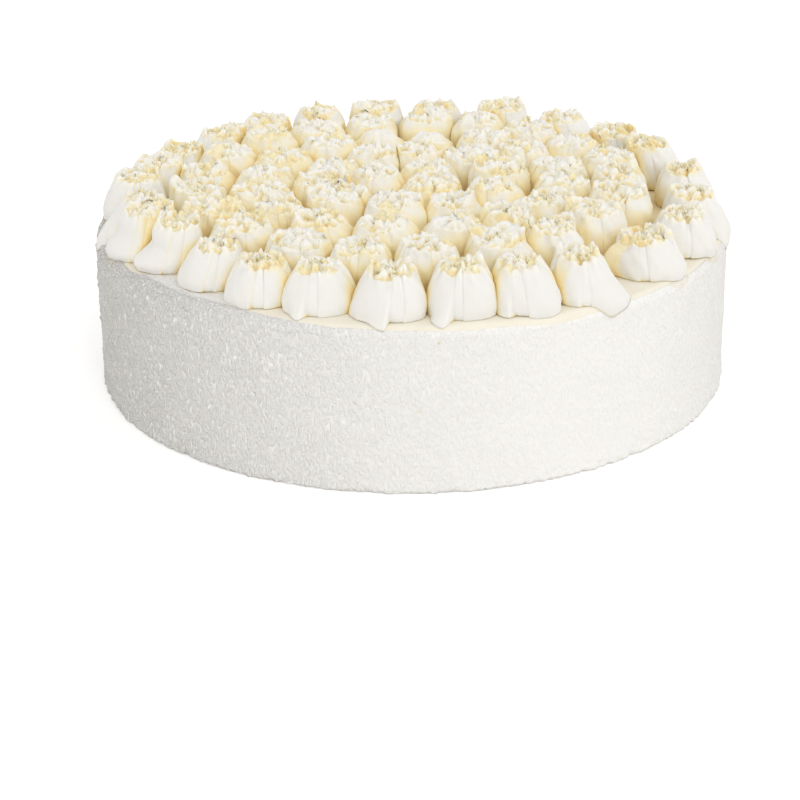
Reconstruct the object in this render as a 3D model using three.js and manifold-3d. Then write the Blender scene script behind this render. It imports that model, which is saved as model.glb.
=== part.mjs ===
import * as THREE from "three";
import { mergeVertices } from "three/addons/utils/BufferGeometryUtils.js";
import Module from "manifold-3d";

// A round white chocolate cake: one solid coated in white cream, its top covered with piped cream
// dollops in five rings. Millimetres, +Z up, origin at the centre of the flat foot, -Y to the front.

// The coated cake
const CAKE_RADIUS = 125;
const CAKE_HEIGHT = 61.5;
const FOOT_FLARE = 1.5; // the side stands this much wider at the foot
const FOOT_ROUND = 1.5;
const SHOULDER_ROUND = 4;
const SHOULDER_STEPS = 3;
const CAKE_SIDES = 96;

// One piped dollop: a tulip, widest just above its foot, with walls that lean in to a torn crown
const DOLLOP_RADIUS = 12.6;
const DOLLOP_HEIGHT = 17;
const DOLLOP_SIDES = 12;
const BELLY_LEVEL = 0.12; // shares of the height
const WALL_LEVELS = [0, BELLY_LEVEL, 0.6];
const FOOT_SHARE = 0.96; // share of the belly's radius
const PETALS = 5;
const PETAL_LOBE = 0.03; // how far each petal swells, as a share of the radius
const PETAL_TURN = 0.2; // how far the petals turn from dollop to dollop, in radians

// The torn edge is lowest at the front
const FRONT = -Math.PI / 2;
const RIM_TILT = 1.2;

// On the frontmost dollops the foot spreads into a tongue, and on some outer ones into a flap of their own.
// Bearings are in degrees from +X.
const TONGUE = { bearing: -107, length: 5.6, narrowness: 8 };
const TONGUE_FADE = 12; // the higher, the fewer dollops have a long tongue
const FLAPS = {
  4: { bearing: -45, length: 5.5, narrowness: 3 },
  5: { bearing: -150, length: 6, narrowness: 6 },
  7: { bearing: -40, length: 6, narrowness: 3 },
  21: { bearing: -162, length: 5, narrowness: 8 },
};
const LONGEST_FLAP = 6;
const TONGUE_LEVEL = 0.18; // tongues fade within this share of the height
const EDGE_MARGIN = 0.5; // tongues end this far inside the cake's edge

// The crown: a torn edge round a hollow, or on the rounder dollops a low dome
const CROWN_TOOTH = 1.4; // rise and fall of the torn edge
const CROWN_WALL = 2; // thickness of the petals at their torn edge
const HOLLOW_SHARE = 0.3; // share of the belly's radius
const CROWN_RISE = {
  edge: { torn: 0, round: -1.8 },
  wall: { torn: -1, round: -0.9 },
  hollow: { torn: -2, round: -0.1 },
  bud: { torn: 0, round: 0.4 },
};
const DOMES = [56, 57]; // these close to a smooth dome
const DOME_CROWN = 0.6;
const DOME_BOW = 2.2;

// How uneven hand piping is: shares of the size, and millimetres
const RADIUS_SPREAD = 0.06;
const HEIGHT_SPREAD = 0.06;
const CROWN_SPREAD = 0.05;
const BOW_SPREAD = 0.2;
const ROUNDNESS_SPREAD = 0.3;
const LEAN = 1.6;
const INWARD_LEAN = 3.5; // of the outer ring
const LONGEST_LEAN = 6.5;
const PLACE_SPREAD = 1.2;
const TRAIT = {
  reach: 1, along: 2, lean: 3, radius: 4, height: 5, turn: 8, crown: 9, bow: 10, roundness: 12, tooth: 120,
};

// Towards the back the dollops grow taller and rounder, with wider crowns and fuller walls
const BACK_RISE = 0.08;
const BACK_ROUNDNESS = 0.5;
const BACK_CROWN = 0.18;
const BACK_BOW = 1;
const WIDEST_CROWN = 0.82;

// Neighbours press flat against each other: a hair apart, or overlapping where they are joined
const GAP = 0.3;
const JOIN = 0.5;

// Rings from the rim to the middle. "start" is the number of a ring's first dollop and "first" that dollop's
// bearing in degrees from +X. The rings that are joined make one piece.
const RINGS = [
  { name: "outer", start: 1, count: 26, radius: 107.5, shape: "torn", joined: false },
  { name: "second", start: 28, count: 21, radius: 83.7, first: -86, shape: "softer", joined: false },
  { name: "third", start: 49, count: 16, radius: 60, first: -76.5, shape: "rounder", joined: true },
  { name: "fourth", start: 65, count: 10, radius: 36.2, first: -100, shape: "rounder", joined: true },
  { name: "middle", start: 75, count: 3, radius: 12.8, first: -60, shape: "rounder", joined: true },
];

// "crown" is the radius of the crowns as a share of the belly, "bow" the fullness of the walls, where 1 is
// straight, and "round" runs from 0, a torn tulip, to 1, a rounded lump.
const SHAPES = {
  torn: { crown: 0.62, bow: 1.25, round: 0 },
  softer: { crown: 0.74, bow: 1.8, round: 0.2 },
  rounder: { crown: 0.78, bow: 2.2, round: 0.3 },
};

// Bearings of the outer ring's dollops, in degrees from +X
const OUTER_BEARINGS = [
  -94.2, -80.9, -69.2, -57.7, -39, -24.9, -11.9, 3.6, 19.8, 33.8, 50.3, 67.5, 83.1,
  97.9, 112.9, 128.5, 142, 156.8, 169.3, 180.7, 195.1, 203.9, 213.1, 226.8, 240.4, 252.7,
];

// Outer dollops that stand apart from the rule, by number: how far out from the ring, their size, and how
// far they lean inward
const MEASURED = {
  1: { out: 0.5, radius: 13, height: 14.8 },
  2: { out: 0.3, radius: 12.4, height: 16.2 },
  3: { out: 3.6, radius: 12.4, height: 15.6 },
  4: { out: 3.8, radius: 12.2, height: 14.6 },
  5: { out: 3.4, radius: 13.4, height: 13.6, inward: 1 },
  6: { out: 4.2, radius: 12.4, height: 14, inward: 0 },
  7: { out: 4, height: 15.5, inward: 0 },
  8: { out: 4, height: 15.5, inward: 1 },
  9: { out: 2 },
  18: { inward: 5 },
  19: { out: 1, inward: 6 },
  20: { out: 3 },
  21: { out: 3 },
  22: { out: 3.2 },
  23: { out: -0.5, radius: 12.2, height: 16.8, inward: 6.5 },
  24: { out: -1.5, radius: 12, height: 14, inward: 6 },
  25: { out: 0.5, radius: 12.4, height: 13.2, inward: 5 },
  26: { out: -0.5, radius: 12.4, height: 14, inward: 5 },
};

const CREAM_WHITE = "#f4f2ec";
const PIPED_IVORY = "#f6efdc";

// A repeatable unevenness from -1 to 1 for a dollop and one of its traits.
function uneven(number, trait) {
  const wave = Math.sin(number * 12.9898 + trait * 78.233) * 43758.5453;
  return 2 * (wave - Math.floor(wave)) - 1;
}

function cakeGeometry() {
  const footRadius = CAKE_RADIUS + FOOT_FLARE;
  const profile = [
    new THREE.Vector2(0, 0),
    new THREE.Vector2(footRadius - FOOT_ROUND, 0),
    new THREE.Vector2(footRadius, FOOT_ROUND),
  ];
  for (let step = 0; step <= SHOULDER_STEPS; step++) {
    const turn = (step / SHOULDER_STEPS) * (Math.PI / 2);
    profile.push(
      new THREE.Vector2(
        CAKE_RADIUS - SHOULDER_ROUND * (1 - Math.cos(turn)),
        CAKE_HEIGHT - SHOULDER_ROUND * (1 - Math.sin(turn)),
      ),
    );
  }
  profile.push(new THREE.Vector2(0, CAKE_HEIGHT));
  return new THREE.LatheGeometry(profile, CAKE_SIDES).rotateX(Math.PI / 2);
}

// Every dollop's place, size, lean and shape.
function layOutDollops() {
  const dollops = [];
  for (const ring of RINGS) {
    for (let i = 0; i < ring.count; i++) {
      const number = ring.start + i;
      const spread = (trait, share) => share * uneven(number, TRAIT[trait]);
      const outer = ring === RINGS[0];
      const along = THREE.MathUtils.radToDeg(spread("along", PLACE_SPREAD) / ring.radius);
      const ruled = ring.first + (360 * i) / ring.count + along;
      const bearing = THREE.MathUtils.degToRad(outer ? OUTER_BEARINGS[i] : ruled);
      const back = (ring.radius / RINGS[0].radius) * Math.sin(bearing);
      const behind = Math.max(back, 0);
      const { out, radius, height, inward } = {
        out: spread("reach", PLACE_SPREAD),
        radius: DOLLOP_RADIUS * (1 + spread("radius", RADIUS_SPREAD)),
        height: DOLLOP_HEIGHT * (1 + BACK_RISE * back + spread("height", HEIGHT_SPREAD)),
        inward: outer ? INWARD_LEAN : 0,
        ...MEASURED[number],
      };
      const leanTo = spread("lean", Math.PI);
      const reach = ring.radius + out;
      const shape = SHAPES[ring.shape];
      const rounder = BACK_ROUNDNESS * behind + spread("roundness", ROUNDNESS_SPREAD);
      const crown = Math.min(shape.crown + BACK_CROWN * behind, WIDEST_CROWN) + spread("crown", CROWN_SPREAD);
      const bow = (shape.bow + BACK_BOW * behind) * (1 + spread("bow", BOW_SPREAD));
      const dome = DOMES.includes(number);
      dollops.push({
        number,
        ring,
        name: `dollop_${ring.name}_${String(i + 1).padStart(2, "0")}`,
        x: reach * Math.cos(bearing),
        y: reach * Math.sin(bearing),
        radius,
        height,
        leanX: LEAN * Math.cos(leanTo) - inward * Math.cos(bearing),
        leanY: LEAN * Math.sin(leanTo) - inward * Math.sin(bearing),
        tongues: [
          { ...TONGUE, length: TONGUE.length * Math.max(-back, 0) ** TONGUE_FADE },
          ...(FLAPS[number] ? [FLAPS[number]] : []),
        ],
        turn: FRONT + spread("turn", PETAL_TURN),
        crown: dome ? DOME_CROWN : crown,
        bow: dome ? DOME_BOW : bow,
        roundness: dome ? 1 : THREE.MathUtils.clamp(shape.round + rounder, 0, 1),
      });
    }
  }
  return dollops;
}

// The upright faces that a dollop presses against, one for each neighbour within reach.
function pressedFaces(dollop, dollops) {
  const faces = [];
  for (const other of dollops) {
    const dx = other.x - dollop.x;
    const dy = other.y - dollop.y;
    const apart = Math.hypot(dx, dy);
    const reach = dollop.radius + other.radius + LEAN + LONGEST_LEAN + LONGEST_FLAP;
    if (other === dollop || apart > reach) continue;
    const between = (apart ** 2 + dollop.radius ** 2 - other.radius ** 2) / (2 * apart);
    const together = dollop.ring.joined && other.ring.joined;
    faces.push({
      nx: dx / apart,
      ny: dy / apart,
      limit: between + (together ? JOIN / 2 : -GAP / 2),
    });
  }
  return faces;
}

// Moves a point back behind every face that it crosses.
function pressBack(point, faces) {
  for (let round = 0; round < faces.length; round++) {
    for (const face of faces) {
      const over = point.x * face.nx + point.y * face.ny - face.limit;
      if (over > 0) {
        point.x -= over * face.nx;
        point.y -= over * face.ny;
      }
    }
  }
  return point;
}

// Moves a point of a dollop back over the cake, where it would stand past the edge.
function keepOnCake(point, dollop) {
  const x = point.x + dollop.x;
  const y = point.y + dollop.y;
  const share = Math.min(1, (CAKE_RADIUS - EDGE_MARGIN) / Math.hypot(x, y));
  point.x = x * share - dollop.x;
  point.y = y * share - dollop.y;
  return point;
}

// Share of the belly's radius at a share of the height.
function bellShare(level, { crown, bow }) {
  if (level < BELLY_LEVEL) return 1 - (1 - FOOT_SHARE) * (1 - level / BELLY_LEVEL) ** 2;
  return 1 - (1 - crown) * ((level - BELLY_LEVEL) / (1 - BELLY_LEVEL)) ** bow;
}

// Height of a place in the crown.
function crownHeight({ height, roundness }, place) {
  const { torn, round } = CROWN_RISE[place];
  return height + THREE.MathUtils.lerp(torn, round, roundness);
}

// Rows of a dollop from its foot to the hollow in its crown.
function dollopRows(dollop) {
  const { radius, height, crown } = dollop;
  const wallRow = (level) => ({
    reach: radius * bellShare(level, dollop),
    level,
    z: height * level,
    tear: 0,
  });
  const crownRow = (reach, place) => ({
    reach,
    level: 1,
    z: crownHeight(dollop, place),
    tear: 1 - dollop.roundness,
  });
  return [
    ...WALL_LEVELS.map(wallRow),
    crownRow(radius * crown, "edge"),
    crownRow(radius * crown - CROWN_WALL, "wall"),
    crownRow(radius * HOLLOW_SHARE, "hollow"),
  ];
}

// How far a bearing points towards another, which is in degrees: 1 straight at it, 0 across or away.
function towards(bearing, degrees) {
  return Math.max(Math.cos(bearing - THREE.MathUtils.degToRad(degrees)), 0);
}

function dollopGeometry(dollop, faces) {
  const { number, turn, leanX, leanY, tongues } = dollop;
  const rows = dollopRows(dollop);
  const points = [new THREE.Vector3(0, 0, 0)];
  for (const { reach, level, z, tear } of rows) {
    for (let side = 0; side < DOLLOP_SIDES; side++) {
      const bearing = turn + (2 * Math.PI * side) / DOLLOP_SIDES;
      const lobe = 1 + PETAL_LOBE * Math.cos(PETALS * (bearing - turn));
      const spreads = tongues.map(
        (tongue) => tongue.length * towards(bearing, tongue.bearing) ** tongue.narrowness,
      );
      const out = reach * lobe + Math.max(...spreads) * Math.exp(-level / TONGUE_LEVEL);
      const tooth = CROWN_TOOTH * uneven(number, TRAIT.tooth + side);
      const tilt = RIM_TILT * Math.cos(bearing - FRONT);
      const point = new THREE.Vector3(
        out * Math.cos(bearing) + leanX * level,
        out * Math.sin(bearing) + leanY * level,
        z + tear * (tooth - tilt),
      );
      points.push(pressBack(keepOnCake(point, dollop), faces));
    }
  }
  points.push(new THREE.Vector3(leanX, leanY, crownHeight(dollop, "bud")));

  const index = [];
  const bud = points.length - 1;
  const at = (row, side) => 1 + row * DOLLOP_SIDES + (side % DOLLOP_SIDES);
  for (let side = 0; side < DOLLOP_SIDES; side++) {
    index.push(0, at(0, side + 1), at(0, side));
    for (let row = 0; row + 1 < rows.length; row++) {
      index.push(at(row, side), at(row, side + 1), at(row + 1, side + 1));
      index.push(at(row, side), at(row + 1, side + 1), at(row + 1, side));
    }
    index.push(at(rows.length - 1, side), at(rows.length - 1, side + 1), bud);
  }
  return new THREE.BufferGeometry().setFromPoints(points).setIndex(index);
}

const wasm = await Module();
wasm.setup();

// Joins touching geometries into one closed body.
function joinGeometries(geometries) {
  const solids = geometries.map((geometry) => {
    const merged = mergeVertices(geometry);
    return new wasm.Manifold(
      new wasm.Mesh({
        numProp: 3,
        vertProperties: merged.attributes.position.array,
        triVerts: new Uint32Array(merged.index.array),
      }),
    );
  });
  const mesh = solids.reduce((whole, solid) => whole.add(solid)).getMesh();
  return new THREE.BufferGeometry()
    .setAttribute("position", new THREE.BufferAttribute(mesh.vertProperties, 3))
    .setIndex(new THREE.BufferAttribute(mesh.triVerts, 1));
}

function namedMesh(name, geometry, material) {
  const mesh = new THREE.Mesh(geometry, material);
  mesh.name = name;
  return mesh;
}

const cream = new THREE.MeshStandardMaterial({ color: CREAM_WHITE, roughness: 0.75, metalness: 0 });
const piping = new THREE.MeshStandardMaterial({ color: PIPED_IVORY, roughness: 0.55, metalness: 0 });

const cake = new THREE.Group();
cake.add(namedMesh("cake_body", cakeGeometry(), cream));

const topping = new THREE.Group();
topping.position.z = CAKE_HEIGHT;
cake.add(topping);

const dollops = layOutDollops();
const joined = [];
for (const dollop of dollops) {
  const geometry = dollopGeometry(dollop, pressedFaces(dollop, dollops));
  if (dollop.ring.joined) {
    joined.push(geometry.translate(dollop.x, dollop.y, 0));
  } else {
    const mesh = namedMesh(dollop.name, geometry, piping);
    mesh.position.set(dollop.x, dollop.y, 0);
    topping.add(mesh);
  }
}
topping.add(namedMesh("dollops_inner", joinGeometries(joined), piping));

export default cake;
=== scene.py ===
import math
from dataclasses import dataclass
from enum import IntEnum
from typing import NamedTuple

import bpy
import numpy as np
from mathutils import Matrix, Vector


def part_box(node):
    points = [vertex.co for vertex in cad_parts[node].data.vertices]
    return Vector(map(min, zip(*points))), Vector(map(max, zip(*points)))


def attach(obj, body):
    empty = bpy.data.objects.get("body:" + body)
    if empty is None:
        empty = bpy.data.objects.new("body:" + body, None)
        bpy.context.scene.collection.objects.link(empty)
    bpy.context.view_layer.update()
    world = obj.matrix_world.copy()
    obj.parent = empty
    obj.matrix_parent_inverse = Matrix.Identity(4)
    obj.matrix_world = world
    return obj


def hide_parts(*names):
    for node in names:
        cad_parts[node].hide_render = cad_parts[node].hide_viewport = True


bl_info = {
    "name": "White Chocolate Cake",
    "version": (1, 0, 0),
    "blender": (4, 5, 0),
    "location": "View3D > Sidebar > Cake",
    "description": "Coats a round cake in rough white cream and pipes cream tulips over its top",
    "category": "Add Mesh",
}

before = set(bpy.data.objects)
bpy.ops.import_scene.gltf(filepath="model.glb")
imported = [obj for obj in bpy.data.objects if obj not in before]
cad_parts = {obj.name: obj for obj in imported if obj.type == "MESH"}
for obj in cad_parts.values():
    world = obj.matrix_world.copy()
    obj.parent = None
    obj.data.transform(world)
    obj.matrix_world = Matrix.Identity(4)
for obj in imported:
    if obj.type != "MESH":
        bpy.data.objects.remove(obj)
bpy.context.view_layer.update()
BODY = "root"
MM = 0.001

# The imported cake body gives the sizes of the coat
CAKE_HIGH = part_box("cake_body")[1]
CAKE_TOP = CAKE_HIGH.z
FOOT_RADIUS = CAKE_HIGH.x
FOOT_FLARE = 1.5 * MM
SIDE_RADIUS = FOOT_RADIUS - FOOT_FLARE


class Ring(NamedTuple):
    """One ring of dollops, which are torn tulips at the rim and rounder towards the middle."""

    name: str
    start: int  # number of its first dollop
    count: int
    radius: float
    first: float  # bearing of the first dollop in degrees from +X, unless the bearings are measured
    crown: float  # radius of the crowns as a share of the belly
    bow: float  # fullness of the walls, where 1 is straight
    roundness: float  # 0 is a torn tulip, 1 a rounded lump


# Rings from the rim to the middle, laid out by the same rule as the solids
RINGS = (
    Ring("outer", 1, 26, 107.5 * MM, 0, 0.62, 1.25, 0.0),
    Ring("second", 28, 21, 83.7 * MM, -86, 0.74, 1.8, 0.2),
    Ring("third", 49, 16, 60 * MM, -76.5, 0.78, 2.2, 0.3),
    Ring("fourth", 65, 10, 36.2 * MM, -100, 0.78, 2.2, 0.3),
    Ring("middle", 75, 3, 12.8 * MM, -60, 0.78, 2.2, 0.3),
)
SINGLE_RINGS = ("outer", "second")  # each of their dollops is a piece of its own
BACK_ROUNDNESS = 0.5  # the dollops at the back are this much rounder
BACK_CROWN = 0.18  # and their crowns this much wider
BACK_BOW = 1  # and their walls this much fuller
BACK_RISE = 0.08  # and they are this share taller
WIDEST_CROWN = 0.82

# How far dollops differ from the rule, as shares and as lengths
RADIUS_SPREAD = 0.06
HEIGHT_SPREAD = 0.06
CROWN_SPREAD = 0.05
BOW_SPREAD = 0.2
ROUNDNESS_SPREAD = 0.3
PLACE_SPREAD = 1.2 * MM
LEAN = 1.6 * MM
INWARD_LEAN = 3.5 * MM  # of the outer ring

# Each dollop reaches this far past the faces on which it meets its neighbours, so that no slit shows
PRESS = 0.15 * MM
PRESS_ROUNDS = 3
NEIGHBOUR_REACH = 3.6  # neighbours stand within this many radii

# Bearings of the outer ring's dollops, in degrees from +X
OUTER_BEARINGS = (
    -94.2, -80.9, -69.2, -57.7, -39, -24.9, -11.9, 3.6, 19.8, 33.8, 50.3, 67.5, 83.1,
    97.9, 112.9, 128.5, 142, 156.8, 169.3, 180.7, 195.1, 203.9, 213.1, 226.8, 240.4, 252.7,
)

# Outer dollops that stand apart from the rule, in millimetres: how far out from the ring, their size, and
# how far they lean inward
MEASURED = {
    1: {"out": 0.5, "radius": 13, "height": 14.8},
    2: {"out": 0.3, "radius": 12.4, "height": 16.2},
    3: {"out": 3.6, "radius": 12.4, "height": 15.6},
    4: {"out": 3.8, "radius": 12.2, "height": 14.6},
    5: {"out": 3.4, "radius": 13.4, "height": 13.6, "inward": 1},
    6: {"out": 4.2, "radius": 12.4, "height": 14, "inward": 0},
    7: {"out": 4, "height": 15.5, "inward": 0},
    8: {"out": 4, "height": 15.5, "inward": 1},
    9: {"out": 2},
    18: {"inward": 5},
    19: {"out": 1, "inward": 6},
    20: {"out": 3},
    21: {"out": 3},
    22: {"out": 3.2},
    23: {"out": -0.5, "radius": 12.2, "height": 16.8, "inward": 6.5},
    24: {"out": -1.5, "radius": 12, "height": 14, "inward": 6},
    25: {"out": 0.5, "radius": 12.4, "height": 13.2, "inward": 5},
    26: {"out": -0.5, "radius": 12.4, "height": 14, "inward": 5},
}

# Dollops that close to a smooth dome, and what sets them apart
DOMES = (56, 57)
DOME_CROWN = 0.6  # radius of the crown as a share of the belly
DOME_BOW = 2.2  # fullness of the walls
DOME_TEAR = 0.2  # how torn they are beside the others
DOME_YELLOW = 0.2


class Trait(IntEnum):
    """Numbers that tell a dollop's uneven traits apart. From SEAM on there is one for each petal."""

    OUT = 1
    ALONG = 2
    LEAN_TO = 3
    RADIUS = 4
    HEIGHT = 5
    TURN = 8
    CROWN = 9
    BOW = 10
    WARMTH = 11
    ROUNDNESS = 12
    POCKET = 14
    SEAM = 20
    RISE = 30
    GROOVE = 40
    FOLD = 50
    EAR_PLACE = 60
    EAR = 70
    TONGUE = 80
    LIFT = 90


class Petal(NamedTuple):
    """One petal of a dollop, counter-clockwise from its seam. Lengths are in metres."""

    seam: float  # degrees from the front
    depth: float  # depth of the seam beside the deepest one
    seam_shade: float  # how golden the painted shade in the seam's crease is
    rise: float  # how far its torn edge stands above the others
    ear: float  # height of the pointed ear on its edge
    ear_at: float  # where the ear stands, as a share of the petal's width
    foot: float  # radius at the foot as a share of the belly
    tongue: float  # how far its hem spreads over the ledge
    tongue_at: float  # where the hem spreads most, as a share of the petal's width
    lift: float  # how far its hem hangs clear of the ledge


# A broad petal at the left, a narrow band, a petal pulled up to an ear, and two at the back
PETALS = (
    Petal(-92, 0.9, 0.3, -1.4 * MM, 2.2 * MM, 0.14, 0.98, 5.6 * MM, 0.92, 0.05 * MM),
    Petal(-12, 0.1, 0.35, -1.6 * MM, 0, 0.5, 0.94, 0, 0.5, 0.1 * MM),
    Petal(8, 0.38, 0.1, -1.7 * MM, 1.4 * MM, 0.25, 0.97, 0.8 * MM, 0.6, 0),
    Petal(92, 1.0, 0.3, 0.3 * MM, 1.2 * MM, 0.4, 0.97, 1.0 * MM, 0.5, 0),
    Petal(184, 0.9, 0.2, 0.2 * MM, 1.2 * MM, 0.6, 0.97, 1.0 * MM, 0.6, 0.05 * MM),
)
LEFT_PETAL = 0
RIGHT_PETAL = 2
FRONT = -90  # bearing of the front in degrees, from which the seams are measured
SEAM_SPREAD = 6  # degrees
TURN_SPREAD = 10
TURNED = {4: 18}  # dollops that are turned, in degrees
INNER_WILDNESS = 1.6  # the inner dollops are this much more uneven
DOLLOP_SEED = 1000
COLUMN_STEP = 3.0  # degrees
COLUMN_CROWDING = 0.1  # how much closer the columns stand beside a seam

# Walls of the dollops, by share of the height
WALL_LEVELS = np.array((0, 0.015, 0.04, 0.08, 0.14, 0.22, 0.32, 0.43, 0.54, 0.65, 0.75, 0.83, 0.9, 0.96, 1))
BELLY_LEVEL = 0.15
SWELL_LEVEL = 0.3  # the lobes swell fully from here up
GROOVE_LEVEL = 0.2  # the seams are deepest from here up
RIM_LEVEL = 0.5  # the torn edge pulls the wall up and down from here up
FOLD_LEVEL = 0.6  # the petals fold inward from here up
FOLD = 0.08  # by this share of their reach
FOLD_WIDTH = 4 * MM  # a petal folds fully this far from its seams
ROUND_FOLD = 0.1  # rounded dollops fold this much more
SEAM_WIDTH = 0.4 * MM
LOBE_DEPTH = 0.3  # a seam deeper than this parts two swollen lobes
LOBE_SWELL = 0.045  # how far a lobe swells, as a share of its width
DENT = 0.3 * MM
LOW_DENTS = 4  # waves round the foot
HIGH_DENTS = 5  # waves round the crown
WRINKLE = 0.12 * MM
WRINKLES = 16
WRINKLE_TWIST = 0.8  # radians from the foot to the crown
UNDER_SHARE = 0.75  # the wall starts under the foot, at this share of the belly
UNDER_DEPTH = 0.3 * MM
OUTSIDE_ROWS = 1 + len(WALL_LEVELS)
INNER_ROWS = 2  # between the torn edge and the crown

# Hems that spread over the ledge
TONGUE_FADE = 12  # the higher, the fewer dollops have a long tongue
TONGUE_LEVEL = 0.18  # tongues fade within this share of the height
TONGUE_RISE = 0.4  # a tongue grows to its tip over this share of the petal's width
FLAPS = {4: 5.5 * MM, 7: 6 * MM}  # dollops whose right petal spreads into a broad flap
FLAP_FROM = 0.4  # a flap is widest between these shares of the petal's width
FLAP_TO = 0.85
LIFT_LEVEL = 0.06  # hems hang clear of the ledge within this share of the height
HANG = 2.5 * MM  # what lies this low hangs over the shoulder of the cake
HANG_CLEARANCE = 0.3 * MM

# Dollops whose left petal spreads: how far, within which share of the height it fades, and where, as a
# share of the petal's width
LEFT_SPREADS = {2: (2.5 * MM, TONGUE_LEVEL, 0.8), 5: (6 * MM, 0.6, 0.25), 21: (5 * MM, TONGUE_LEVEL, 0.25)}
SPREAD_WIDTH = 0.2

# Dollops whose left side is drawn in to a waist above a round lower lobe, and how far
WAISTS = {22: 1.8 * MM, 23: 2.8 * MM}
WAIST_BEARING = math.radians(200)
WAIST_LEVEL = 0.5
WAIST_SPAN = 0.2
LOWER_LOBE_LEVEL = 0.16
LOWER_LOBE_SPAN = 0.14
LOWER_LOBE_SHARE = 0.5  # how far the lobe stands out, beside the waist's depth

# The torn edge
TORN_LEVEL = 0.76  # cream is torn from this share of the height up
TORN_OPEN = {5: 1.5 * MM}  # dollops whose left petal is torn away at its left, and how far
TORN_OPEN_TO = (0.45, 0.7)  # shares of the petal's width between which the torn part ends
EAR_WIDTH = 0.34  # half an ear's width as a share of the petal's
EAR_SHIFT = 0.15
GAP_WIDTH = 0.9 * MM  # of the gaps in the edge at the seams
RAGS = 14  # waves round the edge
RAG_HEIGHT = 0.25  # as a share of the tear height
LOBED_DROP = 0.9 * MM  # an edge of lobes lies this far below their tops
LOBED_LOWEST = -2.6 * MM
THICKNESSES = (0.7, 1.4)  # range of the petals' thickness beside the usual one
THINNEST = 0.4 * MM
THICKEST = 0.3  # as a share of the crown's reach
THICKNESS_WAVES = 5

# Rounded lobes of cream that fill a crown, with pockets between them
LOBE_COUNT = 13
LOBE_FIELD = 0.9  # they stand within this share of the crown
LOBE_TURN = 2.4  # radians from each lobe to the next, which spreads them evenly
LOBE_SHIFT = 0.1
LOBE_WIDTHS = (0.24, 0.4)
LOBE_TOP = 0.6 * MM
LOBE_TOP_SPREAD = 0.6 * MM
LOBE_TOP_FALL = 1.2 * MM  # how much lower the outermost lobes are
LOBE_DROP = 2.2 * MM  # how far a lobe falls within its own width
SMOOTH_LOBES = 0.25  # share of the lobes that are hardly torn
SMOOTH_TEAR = 0.15
YELLOW_LOBES = 0.15  # share of the lobes that are yellow
YELLOW = 0.45
POCKET_DEPTH = 3.0 * MM
POCKET_WAVES = 3
CROWN_SHARES = np.linspace(0.86, 0.08, 16)

# Crumbs of torn cream: width of a crumb, how far it stands out, and its slope
CRUMBS = (
    (2.2 * MM, 0.72 * MM, 0.24),
    (1.2 * MM, 0.55 * MM, 0.28),
    (0.8 * MM, 0.25 * MM, 0.2),
)
CRUMB_EDGE = 0.12  # softness of a crumb's edge as a share of its width
CRUMB_CRACK = 0.6  # depth of the cracks between crumbs as a share of their height
CRUMB_SHIFT = 0.3  # how far crumbs move aside, as a share of their height
LOOSE = 0.01  # cream crumbles where it is torn more than this

# Thin curled flakes that stand on the crowns, with lengths and half widths in millimetres
FLAKE_COUNT = 14
FLAKE_ROWS = 6
FLAKE_SIDES = 6
FLAKE_LENGTHS = (1.3, 3.4)
FLAKE_HALF_WIDTHS = (0.28, 0.8)
FLAKE_HALF_THICKNESS = 0.17 * MM
FLAKE_ROOT = 0.4 * MM  # how deep a flake is set in the crown
FLAKE_TILTS = (-0.2, 0.7)  # radians from upright
FLAKE_CURLS = (-1.2, 1.2)  # radians from foot to tip
# Painted shade on the flakes, strongest at the foot where they stand in the crown
FLAKE_FOOT_SHADE = 0.7
FLAKE_TIP_SHADE = 0.35


class CrownShade(NamedTuple):
    """How golden a crown is painted in its pockets and between its crumbs, where shade falls."""

    pocket: float  # in its pockets
    crack: float  # between its crumbs


OUTER_CROWN = CrownShade(0.85, 0.42)
INNER_CROWN = CrownShade(0.7, 0.3)
# The most painted shade in a crown, and where the pockets' painted shade starts and deepens
DEEPEST_CROWN = 0.72
TINT_TOP = 0.2 * MM  # the painted shade of the pockets starts this far above the dollop's height
ROUND_TINT_DROP = 1.4 * MM  # and this much lower on a rounded lump
TINT_DEPTH = 3.4 * MM

# Painted shade on the outside, from white at 0 through butter and honey to brown at 2, where shade falls
OPEN_SHELTER = 0.6  # most painted shade that shelter alone gives the outer ring
INNER_FOOT_SHADE = 0.5  # how much more painted shade the inner rings get towards the foot
CORNER_SHADE = 2.2  # painted dark shade in the corners at the foot where two outer dollops meet
CORNER_REACH = 1.6 * MM
MEETING_SHADE = 0.45  # painted golden shade along the creases where they press against each other
MEETING_REACH = 1.0 * MM
# Painted shade in a thin golden line at the foot of each dollop
FOOT_SHADE = 0.4
FOOT_SHADE_REACH = 0.4 * MM
SEAM_SHADE_REACH = 0.6 * MM  # painted shade in the seams' creases
SEAM_SHADE = 0.2
LEFT_SEAM_SHADE = 0.8  # how much stronger the painted seam shade is at the left of the cake, away from the key light
LEFT_SHARES = (0.2, 0.6)  # shares of the radius between which the left starts
NOTCH_SHADE = 2.4  # painted brown shade in the notches where the seams meet the ledge
NOTCH_REACH = 0.8 * MM
# Painted shade in the cracks between crumbs
CRACK_SHADE = 0.4
YELLOW_SHARE = 0.6
# Painted shade of the opened inside where a petal is torn away
TORN_OPEN_SHADE = 0.4

# Shelter is looked for level, all round
SHELTER_STEP = 30  # degrees
DRUM_SHARE = 0.85  # radius of the drum that stands for a neighbour
NEAREST = 0.3 * MM
SIDEWAYS_WEIGHT = 0.02  # what is seen past the edge of a point's own view

# The coat's mesh
COAT_SEED = 7
COAT_COLUMNS = 960
COAT_SIDE_ROWS = 70
LOWEST_SIDE_ROW = 0.012  # as a share of the side's height
SHOULDER_ROWS = 20
SHOULDER_ROUGHNESS = 1.05  # beside the side's own
LEDGE_ROWS = 7
LEDGE_ROUGHNESS = 0.4
LEDGE_STEP = 2 * MM

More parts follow.
